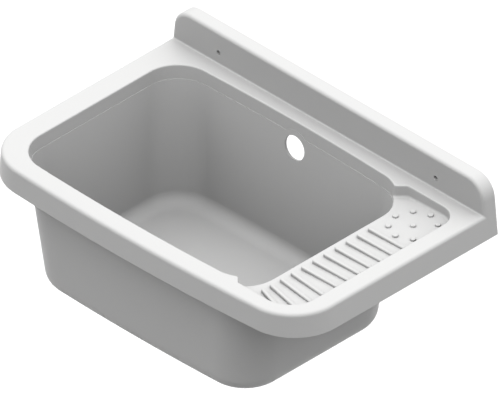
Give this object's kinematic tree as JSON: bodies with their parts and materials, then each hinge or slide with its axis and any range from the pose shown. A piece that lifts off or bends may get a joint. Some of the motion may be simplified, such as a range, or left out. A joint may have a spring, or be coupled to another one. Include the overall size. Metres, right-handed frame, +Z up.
{
  "type": "utility laundry sink",
  "caption": "Wall-hung utility sink: a deep drafted bowl beside a washboard tray, upstand with screw holes, overflow hole, and a basket waste with a lift-out rubber plug.",
  "frame": {"origin": "midpoint between the two wall screw holes, on the wall plane (the back face of the upstand)", "axes": "+X to the right seen from the front, +Y into the wall, +Z up"},
  "size_m": [0.5026, 0.3313, 0.2941],
  "materials": {
    "moulding": "smooth satin white, one moulding",
    "seal_rubber": "soft black sealing rubber",
    "plug_rubber": "firm dark grey rubber, matt",
    "strainer_steel": "pressed stainless steel, turned brushing",
    "ring_steel": "bright plated wire",
    "nut_brass": "plain turned brass",
    "waste_plastic": "white moulded fitting, slightly matt"
  },
  "bodies": {
    "basin": {"basin": "moulding", "flange_seal": "seal_rubber", "strainer": "strainer_steel", "centre_screw": "strainer_steel", "body_seal": "seal_rubber", "waste_body": "waste_plastic", "insert_nut": "nut_brass", "blanking_disc": "seal_rubber", "inlet_cap": "waste_plastic"},
    "stopper": {"stopper": "plug_rubber", "stopper_eye": "ring_steel"},
    "pull_ring": {"pull_ring": "ring_steel"}
  },
  "joints": [
    {"name": "stopper_lift", "type": "slide", "parent": "basin", "child": "stopper", "axis": [0, 0, 1], "range_m": [0, 0.25]},
    {"name": "ring_flip", "type": "hinge", "parent": "stopper", "child": "pull_ring", "pos_m": [-0.03095, -0.17045, -0.187], "axis": [0, -1, 0], "range_deg": [0, 180]}
  ]
}
